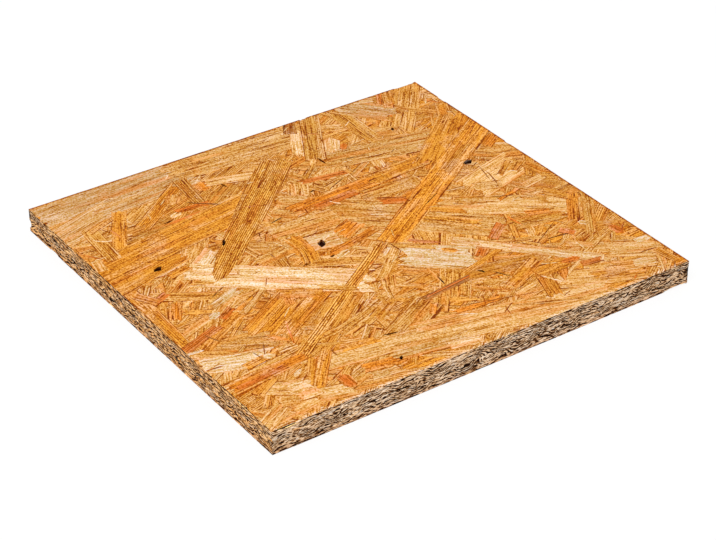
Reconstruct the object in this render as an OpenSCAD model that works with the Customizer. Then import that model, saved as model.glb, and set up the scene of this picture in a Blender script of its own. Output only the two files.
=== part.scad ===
// Offcut of oriented strand board, lying flat on its lower face.
// The board is one pressed piece. X runs along its longer sides, Y along its shorter sides and Z through
// its thickness, and the origin is at the middle of the lower face.
// The hollows cut from the sawn blank are those of a mat of strands: pits in the two faces, gaps between
// strands along the sawn edges, chips where the saw tore a strand off an arris, and broken corners.

/* [Board] */
// Length of the board, along X
board_len = 280; // [120:1:1250]
// Width of the board, along Y
board_wid = 263; // [120:1:1250]
// Thickness of the board, along Z
board_thk = 15; // [9:0.5:25]

/* [Strands] */
// Thickness of one strand once it is pressed
strand_thk = 0.7; // [0.4:0.05:1.2]

/* [Face pits] */
// Length of the longest pit
pit_len = 10; // [3:0.5:14]
// Width of the widest pit
pit_wid = 4; // [1.5:0.25:7]
// Depth of every pit, in strands
pit_strands = 3; // [1:1:4]

/* [Edge gaps] */
// Length of the longest gap, along its edge
gap_len = 15; // [6:0.5:20]
// Height of the tallest gap
gap_height = 1; // [0.3:0.05:1.3]
// Depth of every gap, square to its edge
gap_depth = 2.5; // [1:0.25:6]

/* [Arris chips] */
// Length of the longest chip, along its arris
chip_len = 18; // [6:0.5:30]
// How far the widest chip reaches in from the sawn edge
chip_reach = 1.1; // [0.4:0.1:3]

/* [Corner notches] */
// How far the largest notch cuts a corner back, measured along each side
notch_reach = 2; // [0.5:0.25:4]
// Height of the tallest notch
notch_height = 4; // [1:0.25:5]

/* [Hidden] */
$fn = 96;

// How far a cutter stands out of the surface that it cuts.
proud = 1;
pit_depth = pit_strands * strand_thk;

// Pits of the upper face: place along X and along Y as shares of the board, length and width as shares of
// those of the largest pit, then the turn in degrees.
upper_pits = [
    [-0.394,  0.123, 0.70, 1.00,  24], [-0.234,  0.132, 0.75, 0.60,  58], [-0.071,  0.008, 0.85, 1.00,  58],
    [ 0.029,  0.205, 0.40, 0.35,  20], [ 0.118,  0.308, 1.00, 0.38,  95], [ 0.328,  0.338, 0.40, 0.50,  60],
    [ 0.376,  0.112, 0.85, 1.00,  12], [-0.144, -0.359, 0.95, 0.40, -12], [-0.174, -0.441, 0.40, 0.55,  45],
    [-0.285,  0.276, 0.70, 0.35,   5], [-0.079, -0.047, 0.35, 0.50,  20], [-0.111,  0.342, 0.60, 0.30, 105],
    [ 0.133, -0.278, 0.55, 0.45, 120], [-0.140, -0.044, 0.45, 0.35, -20]
];
// Pits of the lower face, in the same form.
lower_pits = [
    [-0.360, -0.290, 0.65, 0.90,  35], [-0.150,  0.260, 0.95, 0.40, -20], [ 0.070, -0.110, 0.55, 0.70,  10],
    [ 0.250,  0.330, 0.60, 0.35,  75], [ 0.340, -0.180, 0.80, 1.00, -35], [ 0.110,  0.150, 0.40, 0.50,  50],
    [-0.270,  0.060, 0.70, 0.30,   5], [ 0.200, -0.380, 0.50, 0.75,  20]
];

// Gaps of an edge, seen from outside it: place along the edge, from -0.5 at its left end, height above the
// lower face and size, each as a share, then the tilt in degrees.
long_edge_gaps = [
    [-0.480, 0.72, 0.40,  12], [-0.425, 0.20, 0.35,   6], [-0.352, 0.66, 0.35,  -5],
    [-0.340, 0.46, 0.65,  -6], [-0.275, 0.54, 0.70,   6], [-0.210, 0.56, 1.00,  -3],
    [-0.165, 0.30, 0.45,  -4], [-0.073, 0.37, 0.50,   4], [ 0.010, 0.62, 0.35,   5],
    [ 0.090, 0.34, 0.45,  -6], [ 0.140, 0.76, 0.60,   3], [ 0.200, 0.26, 0.50,   8],
    [ 0.265, 0.52, 0.55,  -5], [ 0.320, 0.70, 0.60,   5], [ 0.405, 0.36, 0.55,  -7],
    [ 0.450, 0.70, 0.40,   2]
];
short_edge_gaps = [
    [-0.435, 0.40, 0.50,   3], [-0.385, 0.62, 0.40,  -6], [-0.300, 0.45, 0.75,  -5],
    [-0.225, 0.72, 0.35,   4], [-0.130, 0.28, 0.60,   5], [-0.040, 0.50, 0.80,  -2],
    [ 0.065, 0.68, 0.45,   6], [ 0.145, 0.32, 0.50,  -5], [ 0.235, 0.56, 0.60,   3],
    [ 0.320, 0.24, 0.40,  -3], [ 0.405, 0.64, 0.75,   3], [ 0.445, 0.34, 0.40,   7]
];

// Chips of an arris: place along the arris and size, each as a share.
long_edge_chips = [[-0.465, 1.00], [-0.190, 0.45], [0.045, 0.60], [0.280, 0.40]];
short_edge_chips = [[-0.300, 0.40], [0.130, 0.55], [0.390, 0.70]];

// Notches of the corners: the corner, counted in quarter turns from the one at +X +Y, then height above the
// lower face and size, each as a share.
corner_notches = [
    [0, 0.60, 0.70], [1, 0.35, 1.00], [1, 0.74, 0.30], [2, 0.52, 0.40], [3, 0.22, 0.50], [3, 0.65, 0.60]
];

// A pointed oval, the outline of every hollow between strands: two arcs that meet at both ends.
module lens(length, width) {
    rise = width / 2;
    radius = (length * length / 4 + rise * rise) / (2 * rise);
    intersection() {
        translate([0, radius - rise]) circle(radius);
        translate([0, rise - radius]) circle(radius);
    }
}

// The pressed blank, sawn square.
module blank() {
    translate([-board_len / 2, -board_wid / 2, 0]) cube([board_len, board_wid, board_thk]);
}

// Cutters for the pits of one face, which open upwards from the height z = 0.
module face_pits(pits) {
    for (pit = pits)
        translate([pit[0] * board_len, pit[1] * board_wid, -pit_depth])
            rotate(pit[4])
                linear_extrude(pit_depth + proud)
                    lens(pit_len * pit[2], pit_wid * pit[3]);
}

// Cutters for the gaps of one edge of the given length, which faces -Y and stands on the X axis.
module edge_gaps(gaps, edge_len) {
    for (gap = gaps)
        translate([gap[0] * edge_len, gap_depth, gap[1] * board_thk])
            rotate([90, 0, 0])
                rotate(gap[3])
                    linear_extrude(gap_depth + proud)
                        lens(gap_len * gap[2], gap_height * gap[2]);
}

// Cutters for the chips of one edge, which faces -Y and stands on the X axis. They are one strand deep, and
// those of the lower arris have the same places, counted from the other end.
module arris_chips(chips, edge_len) {
    for (chip = chips, upper = [true, false])
        translate([(upper ? chip[0] : -chip[0]) * edge_len, 0, upper ? board_thk - strand_thk : -proud])
            linear_extrude(strand_thk + proud)
                lens(chip_len * chip[1], 2 * chip_reach * chip[1]);
}

// All that is cut from one edge. Opposite edges are alike when the board is turned half round.
module edge_hollows(gaps, chips, edge_len, half_width) {
    for (turn = [0, 180])
        rotate(turn)
            translate([0, -half_width, 0]) {
                edge_gaps(gaps, edge_len);
                arris_chips(chips, edge_len);
            }
}

// Cutters that take the tip off a corner over part of the thickness.
module corner_cuts() {
    for (notch = corner_notches) {
        quarter = notch[0];
        side_x = quarter == 0 || quarter == 3 ? 1 : -1;
        side_y = quarter < 2 ? 1 : -1;
        reach = notch_reach * notch[2];
        height = notch_height * notch[2];
        translate([side_x * board_len / 2, side_y * board_wid / 2, notch[1] * board_thk])
            rotate(45)
                cube([reach * sqrt(2), reach * sqrt(2), height], center = true);
    }
}

module board() {
    color("burlywood")
        difference() {
            blank();
            translate([0, 0, board_thk]) face_pits(upper_pits);
            mirror([0, 0, 1]) face_pits(lower_pits);
            edge_hollows(long_edge_gaps, long_edge_chips, board_len, board_wid / 2);
            rotate(-90) edge_hollows(short_edge_gaps, short_edge_chips, board_wid, board_len / 2);
            corner_cuts();
        }
}

board();
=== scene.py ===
"""Looks of an offcut of oriented strand board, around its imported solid.

The board is one closed mesh. Each of its six sides is cut along the outlines of the strands that show there.
Lengths are in millimetres until a mesh is written.
"""

import bpy
import numpy as np
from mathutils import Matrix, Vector
from mathutils.geometry import delaunay_2d_cdt


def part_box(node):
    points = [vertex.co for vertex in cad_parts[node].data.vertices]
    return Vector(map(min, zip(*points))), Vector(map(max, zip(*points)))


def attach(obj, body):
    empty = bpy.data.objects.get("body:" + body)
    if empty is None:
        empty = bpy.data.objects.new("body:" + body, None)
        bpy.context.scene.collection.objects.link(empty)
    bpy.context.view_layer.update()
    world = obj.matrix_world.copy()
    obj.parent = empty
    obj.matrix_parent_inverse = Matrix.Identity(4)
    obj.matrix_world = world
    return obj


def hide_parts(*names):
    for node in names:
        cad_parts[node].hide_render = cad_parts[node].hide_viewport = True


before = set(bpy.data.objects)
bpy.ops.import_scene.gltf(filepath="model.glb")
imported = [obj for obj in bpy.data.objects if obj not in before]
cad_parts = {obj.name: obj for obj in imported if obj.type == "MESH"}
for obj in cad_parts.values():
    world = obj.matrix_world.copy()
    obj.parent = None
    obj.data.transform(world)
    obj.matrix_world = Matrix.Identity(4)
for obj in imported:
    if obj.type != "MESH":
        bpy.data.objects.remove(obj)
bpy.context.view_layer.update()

# ---------------------------------------------------------------------------------------------------------
# The strands. They are flakes of softwood, knife-cut along the grain to about the thickness of a playing card
# and up to 150 mm long, strewn in a mat and pressed flat with a clear resin.

BEVEL = 0.3  # the widest slope that a strand has round its rim
BEVELLED_FROM = 2.5  # a strand up to this wide has no slope
# Colours of the wood as they look, in 0 to 255: red, green, blue.
WOOD = {
    "ivory": (237, 196, 132),
    "cream": (240, 192, 122),
    "straw": (236, 180, 100),
    "sand": (220, 168, 98),
    "tan": (230, 168, 80),
    "wheat": (228, 160, 66),
    "honey": (226, 158, 60),
    "gold": (244, 172, 62),
    "golden": (232, 150, 40),
    "amber": (220, 142, 40),
    "orange": (230, 134, 30),
    "rust": (216, 108, 26),
    "umber": (150, 90, 36),
    # Not wood: the near black of painted shade, for hollows and narrow cracks.
    "gap": (44, 24, 12),
}


class Strand:
    """A strand lying in one side of the board: its middle, size and turn, its colour and how it is ended."""

    def __init__(self, draw, x, y, length, width, turn, colour, rings=0.3, ends="torn", bow=0, taper=0):
        self.middle = np.array([x, y], float)
        self.length, self.width, self.bow = length, width, bow
        self.turn = np.radians(turn)
        self.colour, self.rings = colour, rings
        # How strongly painted shade darkens the strand's rim.
        self.rim_shade = draw.uniform(0.2, 1.0)
        self.chance = draw.random()
        self.shade = 1 + draw.normal(0, 0.06)
        self.place = draw.uniform(-2, 2, 2)
        self.level, self.height = None, 0.0
        loop = self.outline(draw, ends, taper)
        self.foot = self.to_side(loop)
        self.bevel = min(BEVEL, 0.2 * width) if width > BEVELLED_FROM or ends == "hollow" else 0
        self.lip = self.to_side(loop * [1 - 2 * self.bevel / length, 1 - 2 * self.bevel / width])

    def to_side(self, points):
        """Own (along, across) to the side's coordinates: moved across by bow * (1 - (2 along / length)^2),
        then turned and moved to the strand's place."""
        along, across = points.T
        across = across + self.bow * (1 - (2 * along / self.length) ** 2)
        cos, sin = np.cos(self.turn), np.sin(self.turn)
        return self.middle + np.stack([along * cos - across * sin, along * sin + across * cos], 1)

    def outline(self, draw, ends, taper):
        """A closed outline: along one long side, over the end, back along the other side and over the other
        end. At t from -1 to 1 the sides stand half the width from the middle line times a form of t: 1 on a
        cut or torn strand, (1 - |t|^(length / width))^(1/2) on a round one, and 1 - t^2 on a pointed one, all
        times 1 + taper * t. They are set out at 3 to 8 places, more on a longer strand, each a little off.
        A cut end is a slanted line, and a torn one has a tooth every 1.5 mm of width, up to 8 mm long."""
        blunt = ends in ("cut", "torn")
        count = 7 if ends == "hollow" else int(np.clip(self.length / 11, 3 if blunt else 4, 8))
        t = np.sin(np.linspace(-1, 1, count) * np.pi / 2)
        form = 1 - t**2
        if blunt:
            form = np.ones(count)
        if ends == "round":
            form = (1 - np.abs(t) ** max(self.length / self.width, 2)) ** 0.5
        form = form * (1 + taper * t)
        rough = draw.normal(0, 0.2 if ends == "hollow" else min(0.07, 0.6 / self.width), (2, count))
        sides = self.width / 2 * form * (1 + rough)
        upper = np.stack([t * self.length / 2, sides[0]], 1)
        lower = np.stack([t * self.length / 2, -sides[1]], 1)
        if not blunt:
            return np.concatenate([lower, upper[-2:0:-1]])
        steps = int(np.clip(self.width / (4 if ends == "cut" else 1.5), 1, 9))
        reach = 0.4 if ends == "cut" else min(0.14 * self.length, 8.0)
        over = []
        for sign in (1, -1):
            share = sign * np.linspace(-1, 1, steps + 2)[1:-1]
            along = sign * (self.length / 2 - reach * draw.random(steps) ** 1.5)
            along += draw.normal(0, 0.1) * self.width * share
            over.append(np.stack([along, share * self.width / 2], 1))
        return np.concatenate([lower, over[0], upper[::-1], over[1]])


# ---------------------------------------------------------------------------------------------------------
# The hollows. The mat leaves pits open in the faces and gaps in the sawn edges, and the saw tears chips off
# the arrises and the corners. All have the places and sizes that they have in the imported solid.

mat_draw = np.random.default_rng(11)
STRAND_THICK = 0.7
PIT_LENGTH, PIT_WIDTH, PIT_DEPTH = 10, 4, 3 * STRAND_THICK
GAP_LENGTH, GAP_HEIGHT, GAP_DEPTH = 15, 1, 2.5
CHIP_LENGTH, CHIP_REACH = 18, 1.1
NOTCH_REACH, NOTCH_HEIGHT = 2, 4
# Pits of a face: place along X and along Y as shares of the board, length and width as shares of those of the
# largest pit, and turn in degrees. Gaps of an edge: place along it and height as shares, size as a share of
# the largest gap, and tilt in degrees. Chips of an arris: place along it and size, as shares.
UPPER_PITS = [
    (-0.394, 0.123, 0.70, 1.00, 24), (-0.234, 0.132, 0.75, 0.60, 58), (-0.071, 0.008, 0.85, 1.00, 58),
    (0.029, 0.205, 0.40, 0.35, 20), (0.118, 0.308, 1.00, 0.38, 95), (0.328, 0.338, 0.40, 0.50, 60),
    (0.376, 0.112, 0.85, 1.00, 12), (-0.144, -0.359, 0.95, 0.40, -12), (-0.174, -0.441, 0.40, 0.55, 45),
    (-0.285, 0.276, 0.70, 0.35, 5), (-0.079, -0.047, 0.35, 0.50, 20), (-0.111, 0.342, 0.60, 0.30, 105),
    (0.133, -0.278, 0.55, 0.45, 120), (-0.140, -0.044, 0.45, 0.35, -20),
]
LOWER_PITS = [
    (-0.360, -0.290, 0.65, 0.90, 35), (-0.150, 0.260, 0.95, 0.40, -20), (0.070, -0.110, 0.55, 0.70, 10),
    (0.250, 0.330, 0.60, 0.35, 75), (0.340, -0.180, 0.80, 1.00, -35), (0.110, 0.150, 0.40, 0.50, 50),
    (-0.270, 0.060, 0.70, 0.30, 5), (0.200, -0.380, 0.50, 0.75, 20),
]
LONG_GAPS = [
    (-0.480, 0.72, 0.40, 12), (-0.425, 0.20, 0.35, 6), (-0.352, 0.66, 0.35, -5), (-0.340, 0.46, 0.65, -6),
    (-0.275, 0.54, 0.70, 6), (-0.210, 0.56, 1.00, -3), (-0.165, 0.30, 0.45, -4), (-0.073, 0.37, 0.50, 4),
    (0.010, 0.62, 0.35, 5), (0.090, 0.34, 0.45, -6), (0.140, 0.76, 0.60, 3), (0.200, 0.26, 0.50, 8),
    (0.265, 0.52, 0.55, -5), (0.320, 0.70, 0.60, 5), (0.405, 0.36, 0.55, -7), (0.450, 0.70, 0.40, 2),
]
SHORT_GAPS = [
    (-0.435, 0.40, 0.50, 3), (-0.385, 0.62, 0.40, -6), (-0.300, 0.45, 0.75, -5), (-0.225, 0.72, 0.35, 4),
    (-0.130, 0.28, 0.60, 5), (-0.040, 0.50, 0.80, -2), (0.065, 0.68, 0.45, 6), (0.145, 0.32, 0.50, -5),
    (0.235, 0.56, 0.60, 3), (0.320, 0.24, 0.40, -3), (0.405, 0.64, 0.75, 3), (0.445, 0.34, 0.40, 7),
]
LONG_CHIPS = [(-0.465, 1.00), (-0.190, 0.45), (0.045, 0.60), (0.280, 0.40)]
SHORT_CHIPS = [(-0.300, 0.40), (0.130, 0.55), (0.390, 0.70)]
# Notches: the corner, counted in quarter turns from the one at +X +Y, height as a share, and size.
CORNER_NOTCHES = [
    (0, 0.60, 0.70), (1, 0.35, 1.00), (1, 0.74, 0.30), (2, 0.52, 0.40), (3, 0.22, 0.50), (3, 0.65, 0.60),
]


def hollow(x, y, length, width, turn, depth, colour="gap"):
    """A place with no strand: a ragged pointed oval as deep as said. Unless told otherwise its floor takes
    the near-black colour of painted shade.
    """
    place = Strand(mat_draw, x, y, length, width, turn, WOOD[colour], 0.3, "hollow")
    place.level, place.rim_shade = -depth, 1
    return place


def pits(rows, half):
    """Hollows of a face."""
    made = []
    for x, y, length, width, turn in rows:
        size = PIT_LENGTH * length, PIT_WIDTH * width
        made.append(hollow(2 * x * half[0], 2 * y * half[1], *size, turn, PIT_DEPTH))
    return made


def gaps(rows, half):
    """Hollows of a sawn edge."""
    made = []
    for along, height, size, turn in rows:
        place = 2 * along * half[0], (2 * height - 1) * half[1]
        made.append(hollow(*place, GAP_LENGTH * size, GAP_HEIGHT * size, turn, GAP_DEPTH * size))
    return made


def chips_of_face(half):
    """Chips along the four arrises of a face, one strand deep."""
    made = []
    for rows, turn in ((LONG_CHIPS, 0), (SHORT_CHIPS, 90)):
        for along, size in rows:
            for side in (1, -1):
                place = 2 * along * half[0] * side, -half[1] * side
                if turn:
                    place = -half[0] * side, -2 * along * half[1] * side
                reach = 2 * CHIP_REACH * size
                made.append(hollow(*place, CHIP_LENGTH * size, reach, turn, STRAND_THICK, "straw"))
    return made


def chips_of_edge(rows, half):
    """The same chips along the upper and the lower arris of a sawn edge, 0.8 of their reach deep."""
    made = []
    for along, size in rows:
        for side in (1, -1):
            place = 2 * along * half[0] * side, half[1] * side
            reach = 0.8 * CHIP_REACH * size
            made.append(hollow(*place, CHIP_LENGTH * size, 2 * STRAND_THICK, 0, reach, "straw"))
    return made


def notches(corners, half):
    """Notches at the ends of a sawn edge, seen from outside: of the corner at its left end and of the one at
    its right end."""
    made = []
    for corner, side in zip(corners, (-1, 1)):
        for quarter, height, size in CORNER_NOTCHES:
            if quarter == corner:
                place = side * half[0], (2 * height - 1) * half[1]
                reach, rise = NOTCH_REACH * size, NOTCH_HEIGHT * size
                made.append(hollow(*place, 2 * reach, rise, 0, reach / 2, "umber"))
    return made


# ---------------------------------------------------------------------------------------------------------
# The faces. Long strands in two main directions lie on each other, straw to orange under the resin, with
# loose splinters on top. The highest ones of the upper face have set places, and all others are strewn.

MM = 0.001
RELIEF = 0.6  # how far the lowest strands of a side lie under its highest ones
corner_low, corner_high = (np.round(np.array(corner) / MM, 3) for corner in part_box("board"))
half_board = (corner_high - corner_low) / 2
half_face = half_board[:2]


def bed(half, colour):
    """What lies under the lowest strands: one flake, larger than the side."""
    flake = Strand(np.random.default_rng(0), 0, 0, 3 * half[0], 3 * half[1], 0, colour, ends="cut")
    flake.level = -RELIEF
    return flake


def strewn(draw, half, count, middle_length):
    """Strands strewn at random. Most lie within 25 degrees of one of two directions, are about a seventh as
    wide as they are long and have a colour halfway between that of their kind and wheat."""
    strands = []
    for _ in range(count):
        length = float(np.clip(middle_length * draw.lognormal(0, 0.5), 6, 125))
        width = float(np.clip(length * draw.lognormal(-2.0, 0.5), 1.2, 24))
        turn = draw.choice([38, -38, 8, 88], p=[0.4, 0.32, 0.2, 0.08]) + draw.normal(0, 14)
        colour = draw.choice(
            ["cream", "straw", "tan", "wheat", "honey", "golden", "amber", "orange", "rust"],
            p=[0.14, 0.18, 0.17, 0.15, 0.12, 0.10, 0.06, 0.06, 0.02],
        )
        rings = draw.choice([0.15, 0.35, 0.8], p=[0.45, 0.3, 0.25])
        ends = draw.choice(["cut", "torn", "point", "round"], p=[0.25, 0.5, 0.17, 0.08])
        x, y = draw.uniform(-1, 1, 2) * half
        bow, taper = draw.normal(0, [0.015 * length, 0.12])
        blend = 0.5 * np.array(WOOD[colour]) + 0.5 * np.array(WOOD["wheat"])
        strands.append(Strand(draw, x, y, length, width, turn, blend, rings, ends, bow, taper))
    return strands


def splinters(draw, half, count):
    """Thin pale or dark slivers of wood that lie loose on top, at all angles. The nearly black ones are
    painted shade of small cracks.
    """
    colours = ["ivory", "cream", "amber", "rust", "umber", "gap"]
    made = []
    for _ in range(count):
        x, y = draw.uniform(-1, 1, 2) * half
        length, width = draw.lognormal(2.2, 0.4), draw.uniform(0.7, 1.5)
        colour = WOOD[draw.choice(colours, p=[0.3, 0.2, 0.16, 0.16, 0.1, 0.08])]
        turn, bow = draw.normal([20, 0], [50, 0.6])
        made.append(Strand(draw, x, y, length, width, turn, colour, 0, "point", bow))
    return made


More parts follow.
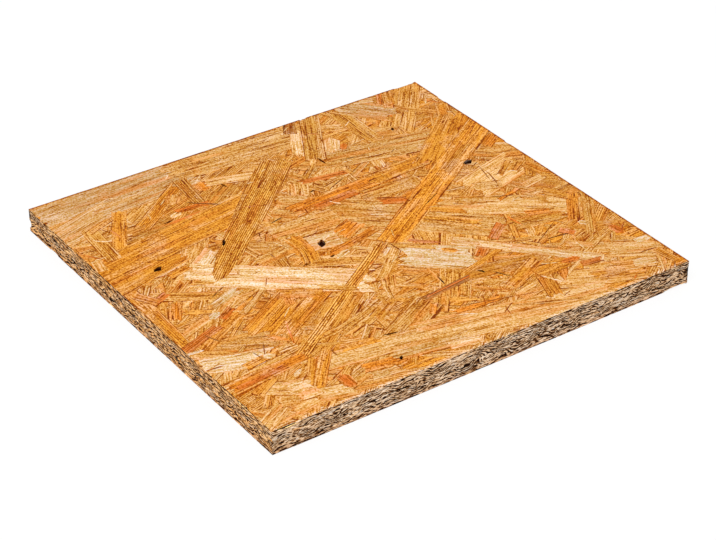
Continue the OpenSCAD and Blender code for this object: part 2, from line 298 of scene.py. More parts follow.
# Strands from the lowest to the highest: middle x and y, length, width, turn in degrees, colour, strength of
# the growth rings, form of the ends where they aren't torn, and bow and taper where a strand has them.
PLACED = [
    (-70, 121, 150, 24, 2, "sand", 0.1),
    (0, 118, 110, 26, -4, "tan", 0.25),
    (-118, 98, 60, 22, 18, "sand", 0.2),
    (-75, 104, 70, 12, 4, "sand", 0.3),
    (75, 72, 92, 24, -12, "tan", 0.1),
    (30, 5, 140, 30, -43, "tan", 0.3),
    (20, 20, 70, 24, -40, "tan", 0.2),
    (95, -25, 85, 22, -32, "straw", 0.3),
    (110, 8, 50, 26, 15, "straw", 0.2),
    (-122, -69, 44, 16, -20, "ivory", 0.1),
    (-122, -29, 24, 6, 20, "straw", 0.3),
    (-70, -42, 64, 28, 30, "golden", 0.6),
    (-45, -103, 104, 15, -9, "straw", 0.25),
    (-100, -110, 58, 7, 56, "golden", 0.6),
    (-91, -104, 46, 7, 50, "golden", 0.6),
    (-100, -80, 80, 6, 8, "honey", 0.5),
    (-114, -103, 24, 14, -35, "straw", 0.1),
    (-107, -106, 15, 12, -8, "cream", 0.1),
    (-122, -97, 17, 7, 30, "amber", 0.2),
    (-94, -122, 22, 12, -14, "cream", 0.1),
    (-133, -122, 26, 10, 30, "straw", 0.1),
    (-101, -96, 8, 4, 30, "ivory", 0.0, "point"),
    (30, -118, 120, 24, -13, "straw", 0.3),
    (45, -116, 60, 5, -25, "tan", 0.2, "point"),
    (48, -104, 20, 10, 10, "straw", 0.1),
    (98, -46, 36, 14, -10, "honey", 0.7),
    (124, -104, 34, 16, -32, "straw", 0.1),
    (106, -112, 40, 10, -24, "tan", 0.1),
    (60, -106, 22, 9, 70, "amber", 0.6),
    (72, -92, 28, 10, 0, "golden", 0.3),
    (-108, 80, 45, 9, 62, "golden", 0.5),
    (-116, 60, 9, 6, 30, "ivory", 0, "round"),
    (-75, 90, 56, 10, 36, "golden", 0.8),
    (-52, 94, 36, 9, 84, "honey", 0.9),
    (-65, 93, 12, 10, 50, "tan", 0.0, "round"),
    (-72, 77, 9, 5, 10, "cream", 0.0, "round"),
    (-59, 79, 24, 4, -5, "rust", 0.4),
    (-42, 96, 12, 11, 80, "orange", 0.1, "round"),
    (-25, 94, 32, 9, -18, "straw", 0.2),
    (-66, 71, 32, 4, 2, "rust", 0.3, "point"),
    (-122, 33, 70, 20, 14, "golden", 0.5),
    (-85, 55, 134, 26, 9, "golden", 0.35),
    (-108, 26, 18, 1.5, 15, "ivory", 0.0, "point"),
    (-83, 23.5, 26, 14, 38, "ivory", 0.0),
    (-96, 14, 16, 9, -30, "ivory", 0.0),
    (-136, -22, 56, 9, 88, "golden", 0.5),
    (-124, -10, 18, 7, 60, "orange", 0.5),
    (-135, 7, 26, 9, -88, "golden", 0.5),
    (-125, 5, 14, 5, 24, "rust", 0.2),
    (-98, -20, 22, 8, 31, "straw", 0.0),
    (-125.5, -40.5, 32, 6.5, 21, "rust", 0.9),
    (-85, -65, 29, 1.4, 69, "rust", 0.1, "point"),
    (-136, -50, 12, 2.5, -5, "ivory", 0.0, "point"),
    (-95, -14, 24, 7, 20, "ivory", 0.1),
    (-102, -27.5, 12, 5, 30, "rust", 0.4),
    (-66, -35, 12, 7, 70, "orange", 0.4),
    (-92, -63, 15, 4, -55, "orange", 0.2, "point"),
    (79, -7, 20, 9, -30, "honey", 0.3),
    (-79, -77, 16, 3, 36, "rust", 0.3, "point"),
    (-50, 6, 24, 12, 8, "tan", 0.1),
    (-50, -5, 16, 9, 80, "honey", 0.9),
    (26, 56, 24, 9, 12, "wheat", 0.2, "round"),
    (4, 60, 16, 16, 60, "tan", 0.1),
    (22, 64, 32, 5, -9, "rust", 0.6),
    (30, 43, 92, 12, 4, "orange", 0.35),
    (-5, 45, 22, 6, 5, "orange", 0.3),
    (14, 38, 34, 7, 3, "rust", 0.5),
    (86, 47, 90, 13, 2, "golden", 0.4),
    (86, 45, 20, 8, -12, "rust", 0.2, "round"),
    (49, 30, 42, 14, -2, "wheat", 0.4),
    (43, 17, 22, 9, -30, "rust", 0.3),
    (60, 20, 26, 5, 12, "orange", 0.5),
    (134, 5, 26, 7, 58, "amber", 0.4),
    (-17, 23, 44, 21, -5, "tan", 0.05, "cut"),
    (-33, 3, 32, 11, 82, "golden", 0.5, "torn", -3),
    (-4, -6, 42, 6, 12, "orange", 0.6),
    (2, 7, 18, 13, 25, "orange", 0.2),
    (-17, 4, 19, 16, -8, "cream", 0.0, "cut"),
    (-16, -14, 12, 7, 20, "ivory", 0.0, "point"),
    (-58.5, -15, 106, 24, -38, "ivory", 0.15),
    (-124, 73, 38, 10, 85, "honey", 0.6, "cut"),
    (-38, 51, 143, 19, 43, "gold", 1.0, "round", 0, 0.4),
    (112, 60, 74, 24, 40, "golden", 0.5),
    (49, 94, 20, 12, 60, "cream", 0.0, "round"),
    (54, 88, 9, 5, 50, "rust", 0.0, "round"),
    (33, 108, 34, 8, 60, "cream", 0.1),
    (45, 109, 58, 13, 61, "honey", 0.6, "cut"),
    (40, 126, 16, 7, 60, "umber", 0.2, "cut"),
    (106, 118, 32, 9, 60, "rust", 0.5, "cut"),
    (75, 108, 52, 13, 89, "honey", 0.6),
    (92, 118, 40, 20, -50, "sand", 0.1),
    (133, 92, 16, 9, 60, "amber", 0.2),
    (133, 43, 16, 8, 30, "orange", 0.3),
    (105.5, 13, 20, 1.0, 75, "umber", 0.1, "point"),
    (113, 8, 9, 2.5, 42, "rust", 0.3, "point"),
    (-113, -87, 54, 11, 6, "orange", 0.4, "torn", 0, -0.3),
    (-118, -89, 34, 4.5, 6, "rust", 0.2),
    (-84, -117, 15, 9, 88, "rust", 0.1, "round"),
    (-58, -115, 28, 8, -10, "orange", 0.3),
    (3, -34, 46, 7, 40, "tan", 0.7),
    (-40, -50, 124, 7, 34, "gold", 1.0),
    (7, -25, 15, 3, 35, "ivory", 0.0, "point"),
    (17, -75.5, 50, 5, 6, "umber", 0.3),
    (18, -74.5, 44, 2, 6, "rust", 0.1),
    (15, -99, 32, 4, -5, "orange", 0.4),
    (-7, -88, 10, 4, 50, "orange", 0.1, "cut"),
    (28, -28, 28, 4, -42, "rust", 0.8, "point"),
    (56, -20, 36, 9, -46, "gold", 0.4),
    (71, -44, 19, 6.5, 36, "rust", 0.6),
    (80, 24, 160, 17, 33, "golden", 0.5, "cut"),
    (27, -47.5, 48, 25, -42, "ivory", 0.1),
    (36, -45, 11, 6, -45, "golden", 0.1, "point"),
    (20, -29, 30, 5, -40, "honey", 0.3),
    (50, -57, 10, 8, 40, "rust", 0.3, "cut"),
    (73, -69.5, 88, 9, -47, "cream", 0.2, "cut"),
    (50, -76, 52, 14, -12, "amber", 0.4),
    (86, -92, 13, 6, -10, "rust", 0.3, "round"),
    (95, -100, 14, 5, -9, "rust", 0.2),
    (100, -121, 26, 5, -28, "amber", 0.2),
    (56, -87, 35, 9, 25, "golden", 0.6),
    (125, -47, 34, 7, 53, "golden", 0.5),
    (127, -59, 52, 7, 55, "honey", 0.4),
    (119, 11, 19, 4, 36, "amber", 0.3),
    (134, 2, 16, 9, -80, "amber", 0.2),
    (102, -15, 19, 3, 13, "orange", 0.2),
    (104, -41, 16, 6, -22, "orange", 0.2),
    (125, -30, 18, 8, -58, "amber", 0.4),
    (118, -65, 7, 5, -50, "ivory", 0.0, "round"),
    (129, -81, 12, 6, -80, "rust", 0.2, "round"),
    (104, -67, 10, 5, -55, "rust", 0.2, "cut"),
    (134, -98, 11, 5, -8, "ivory", 0.0),
    (120, -117, 16, 8, -18, "cream", 0.0),
    (134, -118, 18, 6, -81, "amber", 0.3),
    (-58, -34, 24, 8, -35, "amber", 0.4),
    (-114, -75.5, 15, 6, 8, "golden", 0.6),
    (44, -65, 36, 4, 16, "golden", 0.6),
    (-136, 54, 14, 7, 80, "straw", 0.1),
    (-30, -116, 46, 10, -10, "straw", 0.1),
    (102, 38, 40, 7, 33, "amber", 0.5),
    (98, 0, 18, 9, -20, "tan", 0.1),
    (101, -82, 16, 6, -45, "straw", 0.1),
    (-102, 23, 16, 6, 15, "golden", 0.4),
    (97, 129, 14, 6, -20, "ivory", 0.0),
    (-93, -73, 12, 6, 0, "tan", 0.1),
    (-38, -41.5, 24, 5, -40, "honey", 0.3),
    (-12, -124, 20, 7, -12, "cream", 0.1),
    (96, -115, 22, 6, -15, "amber", 0.3),
    (-109, -26, 9, 6, 20, "ivory", 0.0, "round"),
    (60, -56, 20, 7, -48, "cream", 0.1),
    (113, -27, 16, 7, -50, "honey", 0.3),
    (-62, -122, 20, 7, -8, "straw", 0.1),
    (110, 120, 18, 7, 60, "orange", 0.3),
    (-131, 9, 16, 7, -60, "orange", 0.3),
    (-112, -123, 18, 9, 10, "straw", 0.1),
    (-30, -73, 20, 8, 30, "amber", 0.4),
    (-60, -93, 24, 6, -8, "golden", 0.4),
    (127, 9, 16, 8, 30, "honey", 0.3),
    (62, -9, 22, 7, -40, "golden", 0.5),
    (124, -11, 18, 7, 10, "straw", 0.1),
    (113, 124, 16, 8, 62, "amber", 0.4, "cut"),
    (-97, 5, 13, 4, -40, "honey", 0.2),
    (-115, 91, 20, 5, 20, "amber", 0.2),
    (-106, -115, 13, 8, -5, "cream", 0.0),
    (133, -82, 16, 1.2, 70, "rust", 0.1, "point"),
    # The nearly black thin strands from here are painted shade: narrow cracks between strands drawn as dark
    # slivers.
    (-95, -7, 14, 1.2, 28, "gap", 0, "point"),
    (-104, -68, 12, 1.0, 62, "gap", 0, "point"),
    (-110, -71, 9, 0.8, 100, "gap", 0, "point"),
    (-27, 38, 12, 1.2, 12, "gap", 0, "point"),
    (25, 53, 18, 1.0, 24, "gap", 0, "point"),
    (52, 73, 20, 0.9, -10, "gap", 0, "point"),
    (35, 126, 14, 1.3, 58, "gap", 0, "point"),
    (62, 7, 20, 0.9, 28, "gap", 0, "point"),
    (28, -101, 56, 1.0, -17, "umber", 0, "point"),
    (45, -82, 12, 1.1, -62, "gap", 0, "point"),
    (97, -68, 18, 1.2, -8, "gap", 0, "point"),
    (95, -60, 28, 0.9, 30, "umber", 0, "point"),
]


def inside(points, loop):
    """True where a point lies in a closed outline: a line from it towards +x crosses the outline an odd
    number of times."""
    x, y = points[:, :1], points[:, 1:]
    x0, y0 = loop.T
    x1, y1 = np.roll(loop, -1, 0).T
    rise = np.where(y1 == y0, 1, y1 - y0)
    crosses = ((y0 > y) != (y1 > y)) & (x < x0 + (x1 - x0) * (y - y0) / rise)
    return crosses.sum(1) % 2 == 1


def laid(strands, half):
    """The strands that show, from the lowest to the highest, each with its level under the face. They are put
    one by one on a grid of cells of 1 mm: a strand is 0.6 to 1.4 mm thick and rests on what lies under seven
    tenths of it. Its level is -RELIEF * (share of the mat that lies higher)^1.6."""
    rows = [np.arange(-edge + 0.5, edge, 1.0) for edge in half]
    cells = np.stack(np.meshgrid(*rows, indexing="ij"), -1).reshape(-1, 2)
    shape = [len(row) for row in rows]
    top, height = np.zeros(len(cells), int), np.zeros(len(cells))
    for number, strand in enumerate(strands):
        low = np.clip(np.floor(strand.foot.min(0) + half), 0, shape).astype(int)
        high = np.clip(np.ceil(strand.foot.max(0) + half), 0, shape).astype(int)
        block = (np.arange(low[0], high[0])[:, None] * shape[1] + np.arange(low[1], high[1])).ravel()
        block = block[inside(cells[block], strand.foot)]
        top[block] = number
        if strand.level is None and len(block):
            strand.height = np.quantile(height[block], 0.7) + 0.6 + 0.8 * strand.chance
            height[block] = strand.height
    shown = np.bincount(top, minlength=len(strands))
    heights = np.sort(height)
    for strand in strands:
        if strand.level is None:
            share_below = np.searchsorted(heights, strand.height) / len(heights)
            strand.level = -RELIEF * (1 - share_below) ** 1.6
    return [strand for strand, seen in zip(strands, shown) if seen > 2 or strand.level < -RELIEF]


upper_mat = [bed(half_face, WOOD["golden"])] + strewn(mat_draw, half_face, count=830, middle_length=40)
for x, y, length, width, turn, colour, *form in PLACED:
    upper_mat.append(Strand(mat_draw, x, y, length, width, turn, WOOD[colour], *form))
upper_mat += splinters(mat_draw, half_face, count=150)
lower_mat = [bed(half_face, WOOD["golden"])] + strewn(mat_draw, half_face, count=640, middle_length=45)
lower_mat += splinters(mat_draw, half_face, count=80)
# The lower face is seen from below, so its y runs the other way.
lower_pits = [(x, -y, length, width, -turn) for x, y, length, width, turn in LOWER_PITS]
lay = {
    "upper": laid(upper_mat + pits(UPPER_PITS, half_face) + chips_of_face(half_face), half_face),
    "lower": laid(lower_mat + pits(lower_pits, half_face) + chips_of_face(half_face), half_face),
}

# ---------------------------------------------------------------------------------------------------------
# The sawn edges. The saw has cut the strands across or along, so each shows as a thin wavy sliver. The cut
# wood has no resin on it and is dull, and it is darker where slivers and pressed layers part.

edge_draw = np.random.default_rng(23)
SLIVERS_PER_MM = 2.5
# Colours of the sawn wood: four dull ones, three warmer ones and a dark one.
SAWN = np.array(
    [
        (200, 160, 116), (184, 142, 98), (164, 120, 76), (160, 134, 104),
        (206, 150, 88), (190, 130, 66), (178, 106, 40), (124, 80, 40),
    ]
)
# The share of each of them in the two longer edges, and in the two shorter ones.
ACROSS = np.array([0.25, 0.20, 0.17, 0.18, 0.02, 0.03, 0.02, 0.13])
ALONG = np.array([0.03, 0.04, 0.03, 0.0, 0.23, 0.25, 0.25, 0.17])


def slivers(draw, half, count, shares):
    """Strands in section, strewn along an edge: long and level near the faces, and shorter and more tilted in
    between, all of them following slow waves. Each colour is drawn by its share and then half evened out."""
    made = []
    phase = draw.uniform(0, 6.3, 2)
    for _ in range(count):
        s, z = draw.uniform(-1, 1, 2) * half
        near_face = (abs(z) / half[1]) ** 2
        length = float(np.clip(draw.lognormal(2.1 + 0.9 * near_face, 0.5), 3, 45))
        width = float(np.clip(draw.normal(1.1, 0.3), 0.6, 2.0))
        wave = 9 * np.sin(s / 9 + phase[0]) + 6 * np.sin(s / 4.1 + phase[1] + z)
        turn = (1 - near_face) * (wave + draw.normal(0, 9))
        colour = 0.5 * SAWN[draw.choice(len(SAWN), p=shares)] + 0.5 * shares @ SAWN
        sliver = Strand(draw, s, z, length, width, turn, colour, 0.3, "point", draw.normal(0, 0.3))
        sliver.level = -0.25 * draw.random() ** 1.5
        made.append(sliver)
    return made


half_long, half_short = half_board[[0, 2]], half_board[[1, 2]]
for name, half, gap_rows, chip_rows, corners, shares in (
    ("front", half_long, LONG_GAPS, LONG_CHIPS, (2, 3), ACROSS),
    ("back", half_long, LONG_GAPS, LONG_CHIPS, (0, 1), ACROSS),
    ("right", half_short, SHORT_GAPS, SHORT_CHIPS, (3, 0), ALONG),
    ("left", half_short, SHORT_GAPS, SHORT_CHIPS, (1, 2), ALONG),
):
    mat = [bed(half, SAWN[2])] + slivers(edge_draw, half, int(SLIVERS_PER_MM * 2 * half[0]), shares)
    lay[name] = mat + gaps(gap_rows, half) + chips_of_edge(chip_rows, half) + notches(corners, half)


# ---------------------------------------------------------------------------------------------------------
# The board. It is one pressed piece, sawn square on four sides. Its six sides are cut into the strands that
# show, pressed in to their levels and joined along the arrises into one closed mesh.

# The way that each side faces, and the ways of its x and its y.
SIDES = {
    "upper": ((0, 0, 1), (1, 0, 0), (0, 1, 0)),
    "lower": ((0, 0, -1), (1, 0, 0), (0, -1, 0)),
    "front": ((0, -1, 0), (1, 0, 0), (0, 0, 1)),
    "back": ((0, 1, 0), (-1, 0, 0), (0, 0, 1)),
    "right": ((1, 0, 0), (0, 1, 0), (0, 0, 1)),
    "left": ((-1, 0, 0), (0, -1, 0), (0, 0, 1)),
}
MARKS = np.array([280, 263, 20])  # how many marks an arris has along X, Y and Z
SNAP = 0.4  # an outline that comes this near to an arris ends on it
LET_IN = 2.5  # how far from an arris a side follows the dents of the side that it meets there
FLUSH = 8.0  # how far from an arris the strands begin to lie flush


def highest(points, loops):
    """For each point, the number of the last outline that holds it."""
    order = np.argsort(points[:, 0])
    x, y = points[order].T
    found = np.zeros(len(points), int)
    for number, loop in enumerate(loops):
        if len(loop) > 2:
            low, high = loop.min(0), loop.max(0)
            first, last = np.searchsorted(x, [low[0], high[0]])
            near = order[first:last][(y[first:last] > low[1]) & (y[first:last] < high[1])]
            found[near[inside(points[near], loop)]] = number
    return found


def clipped(loop, half, pitch):
    """The part of a closed outline within |x| <= half[0] and |y| <= half[1]. Each border in turn keeps the
    points on its inner side and adds one where the outline crosses it. Points on a border then move to its
    nearest mark: the marks are the same on the two sides of the board that meet there."""
    loop = loop.copy()
    for axis in (0, 1):
        near = np.abs(np.abs(loop[:, axis]) - half[axis]) < SNAP
        loop[near, axis] = np.sign(loop[near, axis]) * half[axis]
    for axis, sign in ((0, 1), (0, -1), (1, 1), (1, -1)):
        room = half[axis] - sign * loop[:, axis]
        after, room_after = np.roll(loop, -1, 0), np.roll(room, -1)
        share = room / np.where(room == room_after, 1, room - room_after)
        cross = loop + share[:, None] * (after - loop)
        cross[:, axis] = sign * half[axis]
        loop = np.stack([loop, cross], 1)[np.stack([room >= 0, room * room_after < 0], 1)]
    for axis in (0, 1):
        on = np.abs(loop[:, 1 - axis]) == half[1 - axis]
        step = 2 * half[axis] / pitch[axis]
        loop[on, axis] = np.round((loop[on, axis] + half[axis]) / step) * step - half[axis]
    return loop


def triangulated(points, edges):
    """Points and triangles of the plane cut along the edges, with crossings made points."""
    result = delaunay_2d_cdt([Vector(point) for point in points], edges.tolist(), [], 0, 1e-4, False)
    faces = [face for face in result[2] if len(face) == 3]
    return np.array([tuple(point) for point in result[0]]), np.array(faces)


def arranged(strands, half, pitch):
    """Cuts one side of the board along the outlines that show. Returns its points, its triangles, the number
    of the strand that each triangle belongs to, and the number of the one whose flat it lies on: these differ
    on a bevel. Hidden outlines are dropped: of the first cut, only edges between different strands stay."""
    marks = [np.arange(n + 1) * (2 * h / n) - h for h, n in zip(half, pitch)]
    border = np.concatenate(
        [
            np.stack([marks[0][:-1], np.full(pitch[0], -half[1])], 1),
            np.stack([np.full(pitch[1], half[0]), marks[1][:-1]], 1),
            np.stack([marks[0][:0:-1], np.full(pitch[0], half[1])], 1),
            np.stack([np.full(pitch[1], -half[0]), marks[1][:0:-1]], 1),
        ]
    )
    feet = [clipped(strand.foot, half, pitch) for strand in strands]
    lips = [clipped(strand.lip, half, pitch) for strand in strands]
    bevelled = [lip for strand, lip in zip(strands, lips) if strand.bevel]
    loops = [border] + [loop for loop in feet + bevelled if len(loop) > 2]
    starts = np.cumsum([0] + [len(loop) for loop in loops])
    points = np.concatenate(loops)
    edges = np.concatenate(
        [np.stack([np.arange(a, b), np.roll(np.arange(a, b), -1)], 1) for a, b in zip(starts, starts[1:])]
    )
    for last in (False, True):
        points, triangles = triangulated(points, edges)
        middles = points[triangles].mean(1)
        owner, flat = highest(middles, feet), highest(middles, lips)
        if last:
            return points, triangles, owner, flat
        pairs = np.sort(triangles[:, [0, 1, 1, 2, 2, 0]].reshape(-1, 2), 1)
        key, back, count = np.unique(
            pairs[:, 0] * len(points) + pairs[:, 1], return_inverse=True, return_counts=True
        )
        label = np.repeat(owner * (len(strands) + 1) + flat, 3)
        least, most = np.full(len(key), label.max()), np.zeros(len(key), int)
        np.minimum.at(least, back, label)
        np.maximum.at(most, back, label)
        kept = key[(least != most) | (count == 1)]
        used, edges = np.unique(np.stack([kept // len(points), kept % len(points)], 1), return_inverse=True)
        points, edges = points[used], edges.reshape(-1, 2)


cut = {}
for name, ways in SIDES.items():
    normal, u, v = np.array(ways)
    half = np.abs([half_board @ u, half_board @ v])
    pitch = int(abs(MARKS @ u)), int(abs(MARKS @ v))
    points, triangles, owner, flat = arranged(lay[name], half, pitch)
    label = np.zeros(len(points), int)
    np.maximum.at(label, triangles.ravel(), np.repeat(flat, 3))
    level = np.array([strand.level for strand in lay[name]])[label]
    place = half_board * normal + points @ np.stack([u, v])  # from the middle of the board
    cut[name] = {"points": points, "triangles": triangles, "owner": owner, "flat": flat, "label": label}
    cut[name] |= {"level": level, "place": place, "normal": normal, "half": half}


def dents_along(side, other):
    """Place along the arris and level, of one side where it meets another, and the axis of the arris."""
    way = other["normal"]
    along = np.flatnonzero((side["normal"] == 0) & (way == 0))[0]
    on = side["place"] @ way > half_board @ np.abs(way) - 1e-3
    order = np.argsort(side["place"][on, along])
    depth = np.where(side["level"] < -RELIEF, 1, 0.2) * side["level"]
    return side["place"][on, along][order], depth[on][order], along


for side in cut.values():
    normal, place = side["normal"], side["place"]
    room = (half_board - np.abs(place))[:, normal == 0].min(1)
    calm = np.where(side["level"] < -RELIEF, 1, np.clip(room / FLUSH, 0.2, 1))
    moved = place + (calm * side["level"])[:, None] * normal
    for other in cut.values():
        way = other["normal"]
        if way @ normal:
            continue
        spot, depth, along = dents_along(other, side)
        room = half_board @ np.abs(way) - place @ way
        follow = np.clip(1 - room / LET_IN, 0, 1) * np.interp(place[:, along], spot, depth)
        moved += follow[:, None] * way
    side["moved"] = moved

# Points that two sides share on an arris become one, and triangles that this closes up are left out.
starts = np.cumsum([0] + [len(side["place"]) for side in cut.values()])
place = np.concatenate([side["place"] for side in cut.values()])
moved = np.concatenate([side["moved"] for side in cut.values()]) + [0, 0, half_board[2]]
triangles = np.concatenate([side["triangles"] + start for side, start in zip(cut.values(), starts)])
_, keep, merged = np.unique(np.round(place / MM).astype(int), axis=0, return_index=True, return_inverse=True)
triangles = merged.ravel()[triangles]
whole = (triangles != np.roll(triangles, 1, 1)).all(1)

mesh = bpy.data.meshes.new("osb_board")
mesh.from_pydata((moved[keep] * MM).tolist(), [], triangles[whole].tolist())


def gathered(find):
    """Values of the whole triangles or of their corners, side by side."""
    return np.concatenate([find(name, side) for name, side in cut.items()])[whole]


def noted(name, kind, domain, key, values):
    """Keeps values in the mesh under a name, where a material finds them."""
    mesh.attributes.new(name, kind, domain).data.foreach_set(key, values.ravel())


def own_places(name, side):
    """Along and across the strand that a corner belongs to, in metres from a chance start on the grain, and
    then as shares of half its length and half its width."""
    rows = []
    for s in lay[name]:
        rows.append([*s.middle, np.cos(s.turn), np.sin(s.turn), s.bow, s.length, s.width, *s.place])
    x, y, cos, sin, bow, length, width, start, rise = np.array(rows)[side["owner"]].T[..., None]
    points = side["points"][side["triangles"]]
    x, y = points[..., 0] - x, points[..., 1] - y
    along, across = x * cos + y * sin, y * cos - x * sin
    across = across - bow * (1 - (2 * along / length) ** 2)
    return np.stack([along * MM + start, across * MM + rise, 2 * along / length, 2 * across / width], -1)


def linear(colour):
    """The light that a screen gives for a colour in 0 to 255: a share s gives ((s + 0.055) / 1.055) ^ 2.4."""
    share = np.asarray(colour, float) / 255
    return np.where(share > 0.04045, ((share + 0.055) / 1.055) ** 2.4, share / 12.92)


def strand_facts(name, side):
    """Colour, ring strength, chance, rim shade strength, half length, half width and 0 of a triangle's
    strand.
    """
    rows = []
    for s in lay[name]:
        colour = *(linear(s.colour) * s.shade), 1
        rows.append([*colour, s.rings, s.chance, s.rim_shade, s.length / 2, s.width / 2, 0])
    return np.array(rows)[side["owner"]]


def bevel_marks(name, side):
    """1 at the corners of a bevel that lie on the lower strand, and 0 elsewhere. The pressed wood paints
    shade there.
    """
    owner = side["owner"][:, None]
    return ((side["label"][side["triangles"]] != owner) & (side["flat"][:, None] != owner)).astype(float)


def depths(name, side):
    """How deep a corner lies, as a share of 2 mm. The materials paint shade by it, darkest in the deepest
    hollows.
    """
    return np.clip(-side["level"][side["triangles"]] / 2, 0, 1)


# Rows of the flat sheet on which the six sides lie apart: the faces have most of it, and the edges the rest.
SHEET = {
    "upper": (0.0, 0.6),
    "lower": (0.61, 0.9),
    "front": (0.91, 0.93),
    "back": (0.933, 0.953),
    "right": (0.956, 0.976),
    "left": (0.979, 0.999),
}


def on_sheet(name, side):
    """The place of a corner on the sheet, from its place in its side, with a narrow margin all round."""
    low, high = SHEET[name]
    share = side["points"][side["triangles"]] / side["half"] / 2 + 0.5
    return np.stack([0.002 + 0.996 * share[..., 0], low + 0.001 + (high - low - 0.002) * share[..., 1]], -1)


own = gathered(own_places)
mesh.uv_layers.new(name="grain").data.foreach_set("uv", own[..., :2].ravel())
mesh.uv_layers.new(name="span").data.foreach_set("uv", own[..., 2:].ravel())
facts = gathered(strand_facts)
noted("wood", "FLOAT_COLOR", "FACE", "color", facts[:, :4])
noted("nature", "FLOAT_VECTOR", "FACE", "vector", facts[:, 4:7])
noted("size", "FLOAT_VECTOR", "FACE", "vector", facts[:, 7:])
# Marks for painted shade: on the lower strand at each bevel, and in hollows by their depth.
noted("rim_shade", "FLOAT", "CORNER", "value", gathered(bevel_marks))
noted("deep", "FLOAT", "CORNER", "value", gathered(depths))
mesh.uv_layers.new(name="OFBake").data.foreach_set("uv", gathered(on_sheet).ravel())
sawn = gathered(lambda name, side: np.full(len(side["owner"]), name not in ("upper", "lower")))
mesh.polygons.foreach_set("material_index", sawn.astype(np.int32))
mesh.update()
mesh.validate()
board = bpy.data.objects.new("osb_board", mesh)
bpy.context.scene.collection.objects.link(board)


class Wire:
    """A value in a material. Sums, products and powers of wires and numbers add Math nodes."""

    def __init__(self, finish, socket):
        self.finish, self.socket = finish, socket

    def maths(self, operation, *values):
        """One Math node on wires and numbers."""
        return self.finish.node("Math", dict(enumerate(values)), operation=operation)

    def __add__(self, other):
        return self.maths("ADD", self, other)

    def __sub__(self, other):
        return self.maths("SUBTRACT", self, other)

    def __rsub__(self, other):
        return self.maths("SUBTRACT", other, self)

    def __mul__(self, other):
        return self.maths("MULTIPLY", self, other)

    def __pow__(self, other):
        return self.maths("POWER", self, other)

    def __rpow__(self, other):
        return self.maths("POWER", other, self)

    __radd__, __rmul__ = __add__, __mul__

    def __abs__(self):
        return self.maths("ABSOLUTE", self)

    def least(self, other):
        return self.maths("MINIMUM", self, other)

    def most(self, other):
        return self.maths("MAXIMUM", self, other)

    def fraction(self):
        return self.maths("FRACT", self)

    def between(self, low, high):
        """0 below low, 1 above high, and a smooth rise in between."""
        sides = {"Value": self, "From Min": low, "From Max": high}
        return self.finish.node("MapRange", sides, interpolation_type="SMOOTHSTEP")

    def part(self, number):
        """One of the three parts of a place."""
        return self.finish.node("SeparateXYZ", {0: self}, out=number)

    def stretched(self, x, y, z=1):
        """A place with its three parts multiplied."""
        return self.finish.node("VectorMath", {0: self, 1: (x, y, z)}, operation="MULTIPLY")

    def dyed(self, tone, green, blue):
        """A colour times a tone t as wood is: red goes as t, green as t^green and blue as t^blue."""
        factor = self.finish.node("CombineXYZ", {0: tone, 1: tone**green, 2: tone**blue})
        return self.finish.node("VectorMath", {0: self, 1: factor}, operation="MULTIPLY")


class Finish:
    """A material, and the one way in which its nodes are added."""

    def __init__(self, name):
        self.material = bpy.data.materials.new(name)
        self.material.use_nodes = True
        self.tree = self.material.node_tree
        self.tree.nodes.clear()

    def node(self, kind, inputs=None, out=0, **settings):
        """Adds a node: its settings first, and then the values or links of its sockets. Gives one output."""
        made = self.tree.nodes.new("ShaderNode" + kind)
        for key, value in settings.items():
            setattr(made, key, value)
        for key, value in (inputs or {}).items():
            if isinstance(value, Wire):
                self.tree.links.new(value.socket, made.inputs[key])
            else:
                made.inputs[key].default_value = value
        return Wire(self, made.outputs[out]) if made.outputs else None

    def noise(self, place, detail=2.0, rough=0.5):
        """Noise of cells about 1 across: from about 0.25 to 0.75."""
        return self.node("TexNoise", {"Vector": place, "Scale": 1.0, "Detail": detail, "Roughness": rough})

    def mix(self, share, first, second):
        """Two colours mixed: sockets 0, 6 and 7 take the share of the second one and the colours."""
        return self.node("Mix", {0: share, 6: first, 7: second}, out=2, data_type="RGBA")

    def attribute(self, name, out="Fac"):
        """Values that the mesh keeps under a name."""
        return self.node("Attribute", out=out, attribute_name=name)

    def strand(self):
        """Colour, nature and size of a place's strand, and the place on the grain, in it and in the board."""
        wood = self.attribute("wood", "Color")
        nature, size = self.attribute("nature", "Vector"), self.attribute("size", "Vector")
        grain, span = self.node("UVMap", uv_map="grain"), self.node("UVMap", uv_map="span")
        return wood, nature, size, grain, span, self.node("TexCoord", out="Object")

    def shaded(self, colour, roughness, relief, depth):
        """The finished material: hardly any gloss, and a fine relief as deep as said."""
        bump = self.node("Bump", {"Strength": 0.5, "Distance": depth, "Height": relief})
        looks = {"Base Color": colour, "Roughness": roughness, "Normal": bump, "Specular IOR Level": 0.05}
        self.node("OutputMaterial", {0: self.node("BsdfPrincipled", looks)})
        return self.material


def solid(red, green, blue):
    """A colour in 0 to 255 as a socket takes it."""
    return (*linear((red, green, blue)), 1)


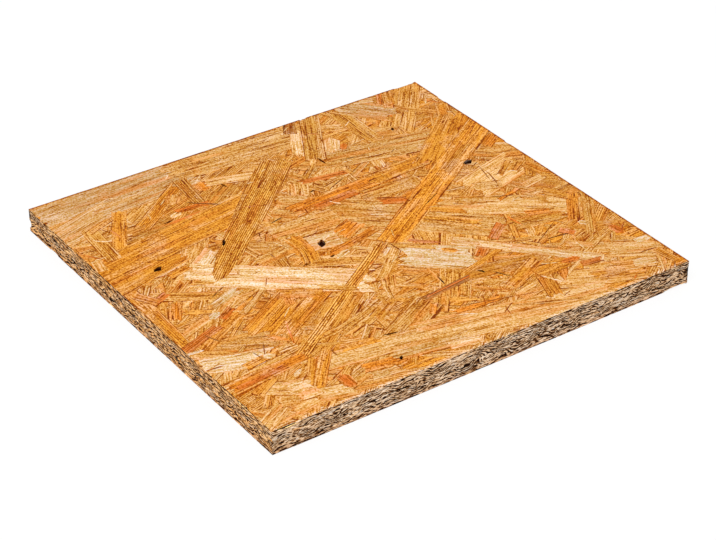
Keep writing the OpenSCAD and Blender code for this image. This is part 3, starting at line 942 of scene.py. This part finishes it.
def pressed_wood():
    """Wood under clear resin. Growth rings are dark lines along the grain that start soft and end sharp,
    threads are thin dark lines and fibres are long faint ones. They change one tone, and the colour deepens
    with it. A blush along the grain and wide patches turn the colour to orange or to cream, and the mat shows
    through torn rims. Painted shade, partly a dark resin line, darkens the rims of strands, and painted shade
    fills the pits. A thin line of painted shade runs along the back and the right arris, and a pale band of
    painted highlight runs along the front one."""
    finish = Finish("pressed_strands")
    wood, nature, size, grain, span, board = finish.strand()
    rings, chance, rim_shade_strength = (nature.part(number) for number in range(3))
    from_end, from_side = ((1 - abs(span.part(axis))) * size.part(axis) for axis in (0, 1))
    border = from_side.least(from_end)

    patch = finish.noise(board.stretched(48, 48, 48), 3, 0.6)
    mat = finish.mix(patch.between(0.4, 0.6), solid(222, 142, 46), solid(234, 178, 96))
    torn = finish.noise(grain.stretched(60, 420), 2)
    feather = (1 - border.between(0.1, 4.0)) * torn.between(0.4, 0.56) * size.part(1).between(1, 5)
    colour = finish.mix(feather * 0.85, wood, mat)
    colour = finish.mix(patch.between(0.54, 0.7) * 0.35, colour, solid(224, 130, 36))
    colour = finish.mix(patch.between(0.46, 0.32) * 0.3, colour, solid(242, 198, 138))
    blush = finish.noise(grain.stretched(16, 150), 2)
    colour = finish.mix(blush.between(0.52, 0.66) * 0.5, colour, solid(230, 130, 36))
    colour = finish.mix(blush.between(0.47, 0.36) * 0.22, colour, solid(244, 196, 128))

    waver = finish.noise(grain.stretched(14, 60), 2)
    ring = (grain.part(1) * (860 - 200 * chance) + waver * 3).fraction().between(0.45, 0.9)
    faint = finish.noise(grain.stretched(14, 250)).between(0.35, 0.6) * (rings * 0.7 + 0.25)
    ring = ring * faint.most(rings.between(0.5, 1.0))
    gate = finish.noise(grain.stretched(40, 300)).between(0.4, 0.6)
    thread = abs(finish.noise(grain.stretched(20, 600), 1) - 0.5).between(0.04, 0.008) * gate
    slow = finish.noise(grain.stretched(16, 330), 3, 0.6)
    fibre = finish.noise(grain.stretched(40, 900), 1, 0.7)
    fleck = finish.noise(grain.stretched(500, 1250), 1)
    speck = finish.noise(grain.stretched(140, 1300), 1).between(0.6, 0.68)
    grit = finish.noise(board.stretched(1100, 1100, 1100), 1)
    dot = finish.noise(board.stretched(650, 650, 650), 2).between(0.62, 0.7)
    # Painted shade, partly a dark resin line: a broken dark line along each strand's rim and on the lower
    # strand where one lies on another.
    broken = finish.noise(grain.stretched(110, 300)).between(0.4, 0.52) * rim_shade_strength
    rim_shade = finish.attribute("rim_shade").most(1 - border.between(0.1, 0.8)) * broken

    glint = border.between(0.4, 0.7) * border.between(1.5, 0.9) * nature.part(2)
    shade = (slow - 0.5) * 0.6 + (fibre - 0.5) * (1.5 - rings * 0.8)
    shade = shade + (fleck - 0.5) * (0.9 - rings * 0.7) + (grit - 0.5) * 1.5
    shade = shade + glint * 0.3 - speck * (0.1 + rings * 0.2) - dot * 0.5 - rim_shade * (0.8 - rings * 0.6)
    shade = (shade - ring.most(thread) * 0.75) * (1 - wood.part(2).between(0.04, 0.16) * 0.5)
    # A thin line of painted shade along the back and the right arris, and a pale band of painted highlight
    # along the front one.
    reach_x, reach_y = (half_face * MM).tolist()
    painted_arris_shade = (reach_x - board.part(0)).least(reach_y - board.part(1)).between(1.8 * MM, 0.5 * MM)
    painted_arris_highlight = (board.part(1) + reach_y).between(3 * MM, 0.5 * MM)
    shade = shade - painted_arris_shade * 0.45
    colour = finish.mix(painted_arris_highlight * 0.55, colour, solid(246, 208, 146))
    colour = finish.mix(shade.between(-0.05, -0.45) * 0.6, colour, solid(216, 138, 10))
    colour = colour.dyed((shade + 1.09).most(0.3).least(1.23), 1.9, 5.3)
    # Painted shade: pits and chips darken towards near black with their depth.
    colour = finish.mix(finish.attribute("deep").between(0.3, 0.9), colour, solid(54, 20, 8))
    return finish.shaded(colour, fibre * 0.3 + 0.45, fibre - thread * 0.3, 0.2 * MM)


def sawn_wood():
    """Cut fibres: dark lines 1.5 mm apart between the pressed layers, which wave more the further they are
    from a face, fine pale and dark grain, dark lines between strands, and thin lines of painted shade under
    the upper arris and along the floor. The tone goes as 12 to the power of their sum. Gaps are darkened
    with painted shade by their depth."""
    finish = Finish("sawn_strands")
    wood, nature, size, grain, span, board = finish.strand()
    height, thick = board.part(2), float(2 * half_board[2] * MM)
    core = height.between(0, thick / 2) * height.between(thick, thick / 2)
    sway = finish.noise(board.stretched(90, 90, 60), 1) - 0.5
    layer = (height * 660 + sway * (core + 0.3) * 9 + nature.part(1) * 0.35).fraction().between(0.3, 0.8)
    gate = finish.noise(board.stretched(150, 150, 700), 1).between(0.4, 0.54)
    dash = finish.noise(grain.stretched(90, 1100), 1)
    grit = finish.noise(grain.stretched(400, 1500), 0)
    black = finish.noise(grain.stretched(110, 1100), 1).between(0.62, 0.66)
    crack = abs(finish.noise(grain.stretched(70, 900), 1) - 0.5).between(0.045, 0.025)
    margin = (1 - abs(span.part(1))) * size.part(1)
    line = (1 - margin.between(0.05, 0.35)) * finish.noise(grain.stretched(120, 300)).between(0.36, 0.5)
    # The lowest 1 to 4 mm and the top 0.9 mm take the warmer colour of the face layers. Below 0.9 mm the edge
    # darkens with painted shade where it meets the floor, and within 0.9 mm of the top a thin line of painted
    # shade runs under the upper arris.
    low, foot = height.between(4 * MM, 1 * MM), height.between(0.9 * MM, 0.3 * MM)
    high = height.between(thick - 0.9 * MM, thick - 0.3 * MM)

    power = 0.46 - layer * gate * 1.8 + (dash.between(0.45, 0.53) - 0.5) * 0.1 + (grit - 0.5) * 3.0
    power = power - crack.most(line * nature.part(2)) * 0.4 - black * 0.7 - high * 0.35 - foot * 0.4
    colour = finish.mix(low.most(high) * 0.35, wood, solid(176, 116, 66))
    colour = finish.mix(power.between(-0.1, -0.6) * 0.5, colour, solid(170, 96, 34))
    colour = colour.dyed((12**power).least(2.2), 1.35, 1.9)
    # Painted shade: gaps, chips and notches darken towards near black with their depth.
    colour = finish.mix(finish.attribute("deep").between(0.03, 0.35), colour, solid(26, 12, 5))
    return finish.shaded(colour, dash * 0.2 + 0.7, dash - crack, 0.3 * MM)


mesh.materials.append(pressed_wood())
mesh.materials.append(sawn_wood())
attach(board, "root")
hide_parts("board")

# ---------------------------------------------------------------------------------------------------------
# The studio. The board lies on a pale matt floor, in soft light from all round and from a large lamp at the
# upper left, and the camera looks down on its front left corner.

floor_mesh = bpy.data.meshes.new("floor")
floor_mesh.from_pydata([(-4, -4, 0), (4, -4, 0), (4, 4, 0), (-4, 4, 0)], [], [(0, 1, 2, 3)])
floor = bpy.data.objects.new("floor", floor_mesh)
bpy.context.scene.collection.objects.link(floor)
paint = Finish("floor_paint")
plain = paint.node("BsdfDiffuse", {"Color": (0.95, 0.95, 0.95, 1)})
bright = paint.node("Emission", {"Color": (1, 1, 1, 1), "Strength": 1.03})
seen = paint.node("LightPath", out="Is Camera Ray")
paint.node("OutputMaterial", {0: paint.node("MixShader", {0: seen * 0.85, 1: plain, 2: bright})})
floor_mesh.materials.append(paint.material)

world = bpy.data.worlds.new("studio")
bpy.context.scene.world = world
world.use_nodes = True
sky = world.node_tree.nodes["Background"].inputs
sky["Color"].default_value = (1, 1, 1, 1)
sky["Strength"].default_value = 0.75

lamp = bpy.data.lights.new("softbox", "AREA")
lamp.energy, lamp.size = 14, 1.2
softbox = bpy.data.objects.new("softbox", lamp)
softbox.location = (-1.0, -0.6, 1.5)
softbox.rotation_euler = Vector((1.0, 0.6, -1.5)).to_track_quat("-Z", "Y").to_euler()
bpy.context.scene.collection.objects.link(softbox)

camera_data = bpy.data.cameras.new("camera")
camera_data.lens, camera_data.sensor_width = 108.8, 36
camera = bpy.data.objects.new("camera", camera_data)
azimuth, elevation, distance = np.radians(34.76), np.radians(32.75), 1.2262
aim = Vector((-0.0123, -0.0233, 0.0075))
look = Vector((np.sin(azimuth) * np.cos(elevation), np.cos(azimuth) * np.cos(elevation), -np.sin(elevation)))
camera.location = aim - distance * look
camera.rotation_euler = look.to_track_quat("-Z", "Y").to_euler()
bpy.context.scene.collection.objects.link(camera)
bpy.context.scene.camera = camera
bpy.context.scene.view_settings.view_transform = "Standard"
